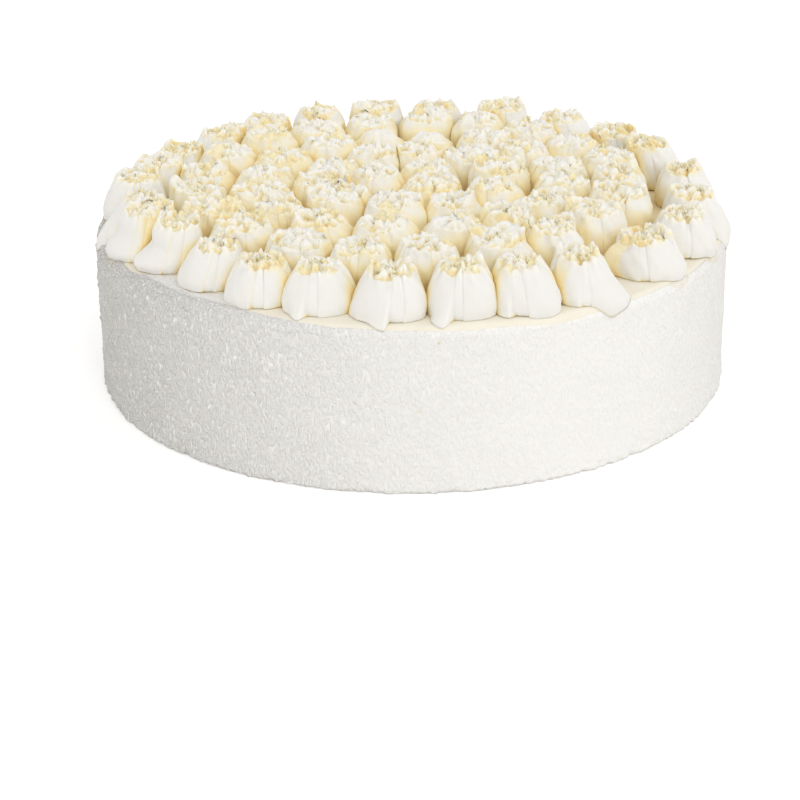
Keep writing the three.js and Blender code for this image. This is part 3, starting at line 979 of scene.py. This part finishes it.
def add_dollop(surface, dollop, dollops, settings):
    """Adds one whole dollop to a mesh, at its place on the cake."""
    rng = np.random.default_rng(DOLLOP_SEED + dollop.number)
    near = neighbours_of(dollop, dollops)
    columns = Columns(dollop)
    lobes = Lobes(dollop, rng)
    rows = dollop_rows(dollop, columns, settings, lobes, rng)
    outside = slice(0, OUTSIDE_ROWS * columns.count)

    points = rows.reshape(-1, 3)
    level = points[:, 2] / dollop.height
    torn = smooth(level, TORN_LEVEL, 1)
    torn[outside.stop:] = 1
    _, lobe = lobes.at(points)
    yellow = torn * lobes.yellow[lobe]
    torn = torn * (1 - dollop.roundness * (1 - lobes.torn[lobe]))
    low = break_up(points, torn, rng)
    points[:, 0] += dollop.lean_x * level
    points[:, 1] += dollop.lean_y * level
    points = press_back(points, dollop.radius, near)

    # Painted shade: golden in the crown's pockets and between its crumbs, and on the outside where shade
    # falls
    painted_shade = OUTER_CROWN if dollop.outer else INNER_CROWN
    tint_top = dollop.height + TINT_TOP - ROUND_TINT_DROP * dollop.roundness
    pocket = smooth(tint_top - points[:, 2], 0, TINT_DEPTH)
    hollow = np.minimum(painted_shade.pocket * pocket + painted_shade.crack * low + yellow, DEEPEST_CROWN)
    hollow[outside] = outside_painted_shade(points[outside], level[outside], dollop, columns, near)
    hollow[outside] += CRACK_SHADE * low[outside] + YELLOW_SHARE * yellow[outside]
    points = drape(points, dollop)

    crown_end = points[-columns.count:, 2].mean()
    ends = np.array([(0, 0, -UNDER_DEPTH), (dollop.lean_x, dollop.lean_y, crown_end)])
    # The middle under the foot gets full painted shade
    surface.add(
        np.concatenate((points, ends)) + (dollop.x, dollop.y, CAKE_TOP),
        closed_faces(len(rows), columns.count),
        hollow=np.append(hollow, (1, hollow[-columns.count:].mean())),
        torn=np.append(torn, (0, torn[-1])),
        warm=0.5 + 0.5 * uneven(dollop.number, Trait.WARMTH),
    )
    if not dollop.dome:
        add_flakes(surface, points[outside.stop + INNER_ROWS * columns.count:], dollop, rng)


# The coat

def filtered_noise(rng, rows, columns, row_step, column_step, length, width, slant):
    """Evenly spread noise of unit height on a grid that closes round the cake, drawn out along a slant."""
    noise = np.fft.rfft2(rng.normal(size=(rows, columns)))
    up = np.fft.fftfreq(rows, row_step)[:, None]
    along = np.fft.rfftfreq(columns, column_step)[None, :]
    lengthwise = up * math.cos(slant) + along * math.sin(slant)
    crosswise = along * math.cos(slant) - up * math.sin(slant)
    noise *= np.exp(-2 * ((lengthwise * length) ** 2 + (crosswise * width) ** 2))
    made = np.fft.irfft2(noise, (rows, columns))
    return made / made.std()


def coat_profile(settings):
    """The coat's rows from the underside up over the shoulder to the ledge.

    Gives each row's radius, height and roughness, and how many degrees it lies down over the shoulder.
    """
    rows = [
        (FOOT_RADIUS * 0.5, 0, 0, 90),
        (FOOT_RADIUS - 2 * MM, 0, 0, 90),
        (FOOT_RADIUS - 0.6 * MM, 0.1 * MM, 0.4, 90),
    ]
    side_top = CAKE_TOP - settings.shoulder
    for share in np.linspace(LOWEST_SIDE_ROW, 1, COAT_SIDE_ROWS):
        rows.append((FOOT_RADIUS - FOOT_FLARE * share, side_top * share, 1, 90))
    for down in np.linspace(90, 0, SHOULDER_ROWS + 1)[1:]:
        rows.append((
            SIDE_RADIUS - settings.shoulder * (1 - math.sin(math.radians(down))),
            side_top + settings.shoulder * math.cos(math.radians(down)),
            SHOULDER_ROUGHNESS,
            down,
        ))
    ledge = SIDE_RADIUS - settings.shoulder
    for i in range(1, LEDGE_ROWS + 1):
        rows.append((ledge - i * LEDGE_STEP, CAKE_TOP, LEDGE_ROUGHNESS, 0))
    return np.array(rows)


def hem_painted_shade(points, dollops):
    """Painted contact shade: how golden the ledge is beside the feet of the dollops."""
    near = np.full(len(points), np.inf)
    for dollop in dollops:
        away = np.hypot(points[:, 0] - dollop.x, points[:, 1] - dollop.y) - dollop.radius - HEM_WIDTH
        near = np.minimum(near, np.maximum(away, 0))
    return HEM_SHADE * bump(near, HEM_SHADE_REACH)


def coat_surface(settings, dollops):
    """The coat: low scraped flecks, an uneven shoulder and a crumbled foot line."""
    profile = coat_profile(settings)
    radii, heights, roughness, down = profile.T[:, :, None]
    rows = len(profile)
    bearings = np.linspace(0, 2 * math.pi, COAT_COLUMNS, endpoint=False)
    row_step = CAKE_TOP / COAT_SIDE_ROWS
    column_step = 2 * math.pi * SIDE_RADIUS / COAT_COLUMNS
    rng = np.random.default_rng(COAT_SEED)

    def noise(length, width, slant):
        return filtered_noise(rng, rows, COAT_COLUMNS, row_step, column_step, length, width, slant)

    turned = (np.degrees(bearings) + 180) % 360 - 180
    flecks = sum(noise(*grain) for grain in FLECK_GRAINS)
    waves = noise(WAVE_WIDTH, WAVE_WIDTH, 0)
    band_end = np.interp(turned, *np.transpose(LEDGE_END)) + LEDGE_WANDER * waves
    band = smooth(band_end - down, -LEDGE_EDGE, LEDGE_EDGE)
    rough = roughness * np.interp(turned, *np.transpose(FLECK_STRENGTH)) * (1 - LEDGE_SMOOTHNESS * band)
    raised = FLECK_SLOPE * flecks + FLECK_TIP_SLOPE * np.maximum(flecks - FLECK_TIP_FROM, 0)
    relief = settings.fleck * raised * rough + WAVE_HEIGHT * waves - LEDGE_SINK * band
    pit = np.zeros((rows, COAT_COLUMNS))
    for bearing, level in PITS:
        aside = np.radians(turned - bearing) * SIDE_RADIUS
        pit += np.exp(-(aside ** 2 + (heights - level * MM) ** 2) / PIT_WIDTH ** 2)
    relief = relief - PIT_DEPTH * pit

    foot = np.exp(-heights / FOOT_REACH) * (radii > FOOT_RADIUS * 0.9)
    crumble_line = settings.foot_crumble * foot * noise(FOOT_CRUMB, FOOT_CRUMB, 0)
    run, climb = np.gradient(radii, axis=0), np.gradient(heights, axis=0)
    steep = np.hypot(run, climb)
    radius = radii + relief * (climb / steep) + crumble_line
    height = np.maximum(heights + relief * (-run / steep) * (heights > 0), 0)
    points = np.stack((radius * np.cos(bearings), radius * np.sin(bearings), height), axis=-1).reshape(-1, 3)

    # Painted shade in the pits, beside the hems and under the dollops, over the tone of the smooth ledge band
    hollow = pit.ravel() + LEDGE_TINT * band.ravel()
    top = points[:, 2] > CAKE_TOP - settings.shoulder
    hollow[top] = np.maximum(hollow[top], hem_painted_shade(points[top], dollops))
    hollow[-COAT_COLUMNS:] = GAP_SHADE

    surface = Surface()
    surface.add(
        np.concatenate((points, [(0, 0, 0), (0, 0, CAKE_TOP)])),
        closed_faces(rows, COAT_COLUMNS),
        hollow=np.append(hollow, (0, 1)),
        torn=np.append(rough.ravel(), (0, 0)),
        warm=0,
    )
    return surface


# Materials

PATCH_SCALE = 160  # patches of warmer cream in a metre
PATCH_TINT = 0.24
WARM_TINT = 0.1
# Steep torn cream gets painted warm shade
STEEP_SHADE_FACES = (0.8, 0.1)  # upward part of the normal where cream starts to count as steep, and where fully
BUTTER_DEPTHS = (0.3, 0.85)  # amounts of painted shade and tone between which cream turns to butter
HONEY_DEPTHS = (0.75, 1.2)
BROWN_DEPTHS = (1.45, 2.1)
NOISE_DETAIL = 3
GRAIN_ROUGHNESS = 0.55
CRUMB_SCALE = 900  # crumbs of grain in a metre
SHEEN_SPREAD = 0.25
GLOW_COLOUR = (1.0, 0.92, 0.8)
# The sheltered, deep and notch colours are painted shade
CREAM_COLOURS = ("Open", "Tips", "Sheltered", "Deep", "Notch")
SHEEN = 0.3


def put(tree, socket, value):
    """Links a socket to another one, or sets its value."""
    if isinstance(value, bpy.types.NodeSocket):
        tree.links.new(value, socket)
    else:
        socket.default_value = value


def calculate(tree, operation, *values):
    """A calculation with sockets and numbers."""
    step = tree.nodes.new("ShaderNodeMath")
    step.operation = operation
    for socket, value in zip(step.inputs, values):
        put(tree, socket, value)
    return step.outputs[0]


def ramp(tree, value, low, high):
    """Turns softly from 0 to 1 as a value goes from low to high."""
    soft = tree.nodes.new("ShaderNodeMapRange")
    soft.interpolation_type = "SMOOTHSTEP"
    for socket, part in (("Value", value), ("From Min", low), ("From Max", high)):
        put(tree, soft.inputs[socket], part)
    return soft.outputs["Result"]


def blend(tree, factor, first, second):
    """A mix of two colours."""
    mix = tree.nodes.new("ShaderNodeMix")
    mix.data_type = "RGBA"
    for socket, part in (("Factor", factor), ("A", first), ("B", second)):
        put(tree, mix.inputs[socket], part)
    return mix.outputs["Result"]


def noise_texture(tree, place, scale):
    """Cloudy noise over a place."""
    texture = tree.nodes.new("ShaderNodeTexNoise")
    texture.inputs["Detail"].default_value = NOISE_DETAIL
    put(tree, texture.inputs["Vector"], place)
    put(tree, texture.inputs["Scale"], scale)
    return texture


def new_group(name, inputs, outputs):
    """A shader node group, with the names of its sockets by kind."""
    group = bpy.data.node_groups.new(name, "ShaderNodeTree")
    for in_out, kinds in (("INPUT", inputs), ("OUTPUT", outputs)):
        for kind, labels in kinds.items():
            for label in labels:
                group.interface.new_socket(label, in_out=in_out, socket_type=f"NodeSocket{kind}")
    return group, group.nodes.new("NodeGroupInput").outputs, group.nodes.new("NodeGroupOutput").inputs


def painted_shade_group():
    """Painted shade: cream turns from white through butter and honey to brown with depth, whiter where torn.
    """
    group, given, made = new_group(
        "sheltered_cream",
        {"Float": ("Hollow", "Warm", "Torn", "Steep"), "Color": CREAM_COLOURS},
        {"Color": ("Color",)},
    )
    place = group.nodes.new("ShaderNodeNewGeometry").outputs
    # How deep the painted shade is, with random patches and dollops of warmer cream
    patches = noise_texture(group, place["Position"], PATCH_SCALE)
    depth = calculate(group, "MULTIPLY_ADD", patches.outputs["Fac"], PATCH_TINT, given["Hollow"])
    depth = calculate(group, "MULTIPLY_ADD", given["Warm"], WARM_TINT, depth)
    # Painted warm shade on steep torn sides, which face away from the light above
    upward = group.nodes.new("ShaderNodeSeparateXYZ")
    put(group, upward.inputs["Vector"], place["Normal"])
    steep = calculate(group, "MULTIPLY", ramp(group, upward.outputs["Z"], *STEEP_SHADE_FACES), given["Steep"])
    depth = calculate(group, "MULTIPLY_ADD", steep, given["Torn"], depth)
    tone = blend(group, given["Torn"], given["Open"], given["Tips"])
    tone = blend(group, ramp(group, depth, *BUTTER_DEPTHS), tone, given["Sheltered"])
    tone = blend(group, ramp(group, depth, *HONEY_DEPTHS), tone, given["Deep"])
    tone = blend(group, ramp(group, depth, *BROWN_DEPTHS), tone, given["Notch"])
    put(group, made["Color"], tone)
    return group


def grain_group():
    """Fine whipped grain: a height and a roughness that change over the surface."""
    group, given, made = new_group(
        "whipped_grain",
        {"Vector": ("Stretch",), "Float": ("Scale", "Low", "High", "Streaks", "Crumbs", "Rough")},
        {"Float": ("Height", "Roughness")},
    )
    place = group.nodes.new("ShaderNodeNewGeometry").outputs["Position"]
    stretch = group.nodes.new("ShaderNodeVectorMath")
    stretch.operation = "MULTIPLY"
    put(group, stretch.inputs[0], place)
    put(group, stretch.inputs[1], given["Stretch"])
    grain = noise_texture(group, stretch.outputs["Vector"], given["Scale"])
    grain.inputs["Roughness"].default_value = GRAIN_ROUGHNESS
    crumbs = noise_texture(group, place, CRUMB_SCALE)
    flecks = ramp(group, grain.outputs["Fac"], given["Low"], given["High"])
    streaks = calculate(group, "MULTIPLY", flecks, given["Streaks"])
    height = calculate(group, "MULTIPLY_ADD", crumbs.outputs["Fac"], given["Crumbs"], streaks)
    put(group, made["Height"], height)
    rough = calculate(group, "MULTIPLY_ADD", grain.outputs["Fac"], SHEEN_SPREAD, given["Rough"])
    put(group, made["Roughness"], rough)
    return group


class Finish(NamedTuple):
    """What sets one cream finish apart from another. Lengths are in metres."""

    stretch: tuple  # how the grain is drawn out, by axis
    scale: float  # grains in a metre
    low: float  # the grain is flat below this share
    high: float  # and above this one, so a narrow span makes crisp flecks
    rough: float
    relief: float  # depth of the grain
    glow: float  # share of the light that sinks in
    glow_reach: float  # how far that light spreads
    torn_socket: str  # what the torn shade makes stronger: "Streaks" or "Crumbs"
    streaks: float  # strength of the streaks where no shade sets it
    steep: float  # how much painted warm shade the steep sides of torn cream get


COAT_FINISH = Finish((1, 1, 0.5), 1000, 0.32, 0.74, 0.6, 0.56 * MM, 0.1, 0.6 * MM, "Streaks", 0, 0)
PIPING_FINISH = Finish((1, 1, 0.3), 500, 0, 1, 0.42, 0.4 * MM, 0.8, 1.2 * MM, "Crumbs", 0.4, 0.26)


def cream_material(name, colours, finish):
    """A cream finish: painted shade, fine grain and light that sinks in."""
    material = bpy.data.materials.new(name)
    material.use_nodes = True
    nodes, links = material.node_tree.nodes, material.node_tree.links
    shader = nodes["Principled BSDF"]
    shader.inputs["Subsurface Weight"].default_value = finish.glow
    shader.inputs["Subsurface Radius"].default_value = GLOW_COLOUR
    shader.inputs["Subsurface Scale"].default_value = finish.glow_reach
    shader.inputs["Specular IOR Level"].default_value = SHEEN

    painted_shade = nodes.new("ShaderNodeGroup")
    painted_shade.node_tree = bpy.data.node_groups.get("sheltered_cream") or painted_shade_group()
    for socket, tone in zip(CREAM_COLOURS, colours):
        painted_shade.inputs[socket].default_value = (*tone, 1)
    painted_shade.inputs["Steep"].default_value = finish.steep
    links.new(painted_shade.outputs["Color"], shader.inputs["Base Color"])

    grain = nodes.new("ShaderNodeGroup")
    grain.node_tree = bpy.data.node_groups.get("whipped_grain") or grain_group()
    for part in ("stretch", "scale", "low", "high", "rough", "streaks"):
        grain.inputs[part.capitalize()].default_value = getattr(finish, part)
    links.new(grain.outputs["Roughness"], shader.inputs["Roughness"])
    bump_node = nodes.new("ShaderNodeBump")
    bump_node.inputs["Distance"].default_value = finish.relief
    links.new(grain.outputs["Height"], bump_node.inputs["Height"])
    links.new(bump_node.outputs["Normal"], shader.inputs["Normal"])

    # The first attribute carries the painted shade
    for shade in ("hollow", "warm", "torn"):
        reader = nodes.new("ShaderNodeAttribute")
        reader.attribute_name = shade
        links.new(reader.outputs["Fac"], painted_shade.inputs[shade.capitalize()])
        if shade == "torn":
            links.new(reader.outputs["Fac"], grain.inputs[finish.torn_socket])
    return material


# Operators

class CAKE_OT_set_stage(bpy.types.Operator):
    """Put down a pale floor, light it softly and place the camera"""

    bl_idname = "cake.set_stage"
    bl_label = "Set Stage"

    def execute(self, context):
        settings = context.scene.cake_stage
        self.lay_floor()
        self.light(context.scene, settings)
        self.place_camera(context.scene, settings)
        return {"FINISHED"}

    def lay_floor(self):
        bpy.ops.mesh.primitive_plane_add(size=FLOOR_SIZE)
        floor = bpy.context.object
        floor.name = "floor"
        material = bpy.data.materials.new("floor_white")
        material.use_nodes = True
        nodes, links = material.node_tree.nodes, material.node_tree.links
        shader = nodes["Principled BSDF"]
        shader.inputs["Base Color"].default_value = FLOOR_WHITE
        shader.inputs["Roughness"].default_value = 1
        shader.inputs["Specular IOR Level"].default_value = 0
        shader.inputs["Emission Color"].default_value = WHITE
        shader.inputs["Emission Strength"].default_value = FLOOR_GLOW
        dull = nodes.new("ShaderNodeBsdfDiffuse")
        dull.inputs["Color"].default_value = FLOOR_BOUNCE
        seen = nodes.new("ShaderNodeLightPath")
        mix = nodes.new("ShaderNodeMixShader")
        links.new(seen.outputs["Is Camera Ray"], mix.inputs["Fac"])
        links.new(dull.outputs["BSDF"], mix.inputs[1])
        links.new(shader.outputs["BSDF"], mix.inputs[2])
        links.new(mix.outputs["Shader"], nodes["Material Output"].inputs["Surface"])
        floor.data.materials.append(material)

    def light(self, scene, settings):
        world = bpy.data.worlds.new("studio")
        world.use_nodes = True
        tree = world.node_tree
        seen = tree.nodes.new("ShaderNodeLightPath").outputs["Is Camera Ray"]
        sky = (*(settings.sky * part for part in settings.sky_colour), 1)
        put(tree, tree.nodes["Background"].inputs["Color"], blend(tree, seen, sky, WHITE))
        scene.world = world

        for name, (bearing, climb, softness) in SUNS.items():
            lamp = bpy.data.lights.new(name, "SUN")
            lamp.energy = getattr(settings, name)
            lamp.color = settings.key_colour
            lamp.angle = math.radians(softness)
            sun = bpy.data.objects.new(name, lamp)
            sun.rotation_euler = (math.radians(90 - climb), 0, math.radians(bearing))
            scene.collection.objects.link(sun)
        scene.view_settings.view_transform = "Standard"

    def place_camera(self, scene, settings):
        forward = Vector((
            math.sin(settings.yaw) * math.cos(settings.pitch),
            math.cos(settings.yaw) * math.cos(settings.pitch),
            -math.sin(settings.pitch),
        ))
        level_right = forward.cross(Vector((0, 0, 1))).normalized()
        level_up = level_right.cross(forward)
        right = math.cos(settings.roll) * level_right + math.sin(settings.roll) * level_up
        up = right.cross(forward)
        lens = bpy.data.cameras.new("camera")
        lens.lens = settings.lens
        lens.sensor_width = SENSOR_WIDTH
        lens.clip_start = CAMERA_START
        camera = bpy.data.objects.new("camera", lens)
        camera.location = settings.camera_place
        camera.rotation_euler = Matrix((right, up, -forward)).transposed().to_euler()
        scene.collection.objects.link(camera)
        scene.camera = camera


class CAKE_OT_coat_cake(bpy.types.Operator):
    """Coat the cake in rough white cream"""

    bl_idname = "cake.coat_cake"
    bl_label = "Coat Cake"

    def execute(self, context):
        settings = context.scene.cake_coat
        piping = context.scene.cake_piping
        colours = (settings.white, settings.white, settings.butter, piping.honey, piping.brown)
        material = cream_material("rough_coat", colours, COAT_FINISH)
        surface = coat_surface(settings, lay_out_dollops(piping))
        surface.piece("cream_coat", material, "cream_coat", "cake_body")
        return {"FINISHED"}


class CAKE_OT_pipe_dollops(bpy.types.Operator):
    """Pipe the cream dollops in rings over the top"""

    bl_idname = "cake.pipe_dollops"
    bl_label = "Pipe Dollops"

    def execute(self, context):
        settings = context.scene.cake_piping
        colours = (settings.white, settings.tips, settings.butter, settings.honey, settings.brown)
        material = cream_material("piped_cream", colours, PIPING_FINISH)
        dollops = lay_out_dollops(settings)
        for ring in RINGS:
            single = ring.name in SINGLE_RINGS
            rest = Surface()
            for dollop in dollops:
                if dollop.ring != ring.name:
                    continue
                surface = Surface() if single else rest
                add_dollop(surface, dollop, dollops, settings)
                if single:
                    name = dollop.node.replace("dollop", "piped")
                    surface.piece(name, material, "piped_cream", dollop.node)
            if not single:
                rest.piece(f"piped_{ring.name}", material, "piped_cream", "dollops_inner")
        return {"FINISHED"}


class CAKE_PT_sidebar(bpy.types.Panel):
    """Steps that make the cake, in order"""

    bl_label = "White Chocolate Cake"
    bl_space_type = "VIEW_3D"
    bl_region_type = "UI"
    bl_category = "Cake"

    def draw(self, context):
        for step in STEPS:
            self.layout.operator(step.bl_idname)


STEPS = (CAKE_OT_set_stage, CAKE_OT_coat_cake, CAKE_OT_pipe_dollops)
SETTINGS = {"cake_coat": CoatSettings, "cake_piping": PipingSettings, "cake_stage": StageSettings}


def register():
    for group in (*SETTINGS.values(), *STEPS, CAKE_PT_sidebar):
        bpy.utils.register_class(group)
    for name, settings in SETTINGS.items():
        setattr(bpy.types.Scene, name, bpy.props.PointerProperty(type=settings))


def unregister():
    for name in SETTINGS:
        delattr(bpy.types.Scene, name)
    for group in (CAKE_PT_sidebar, *reversed(STEPS), *reversed(SETTINGS.values())):
        bpy.utils.unregister_class(group)


def main():
    register()
    bpy.ops.cake.set_stage()
    bpy.ops.cake.coat_cake()
    bpy.ops.cake.pipe_dollops()


if __name__ == "__main__":
    main()
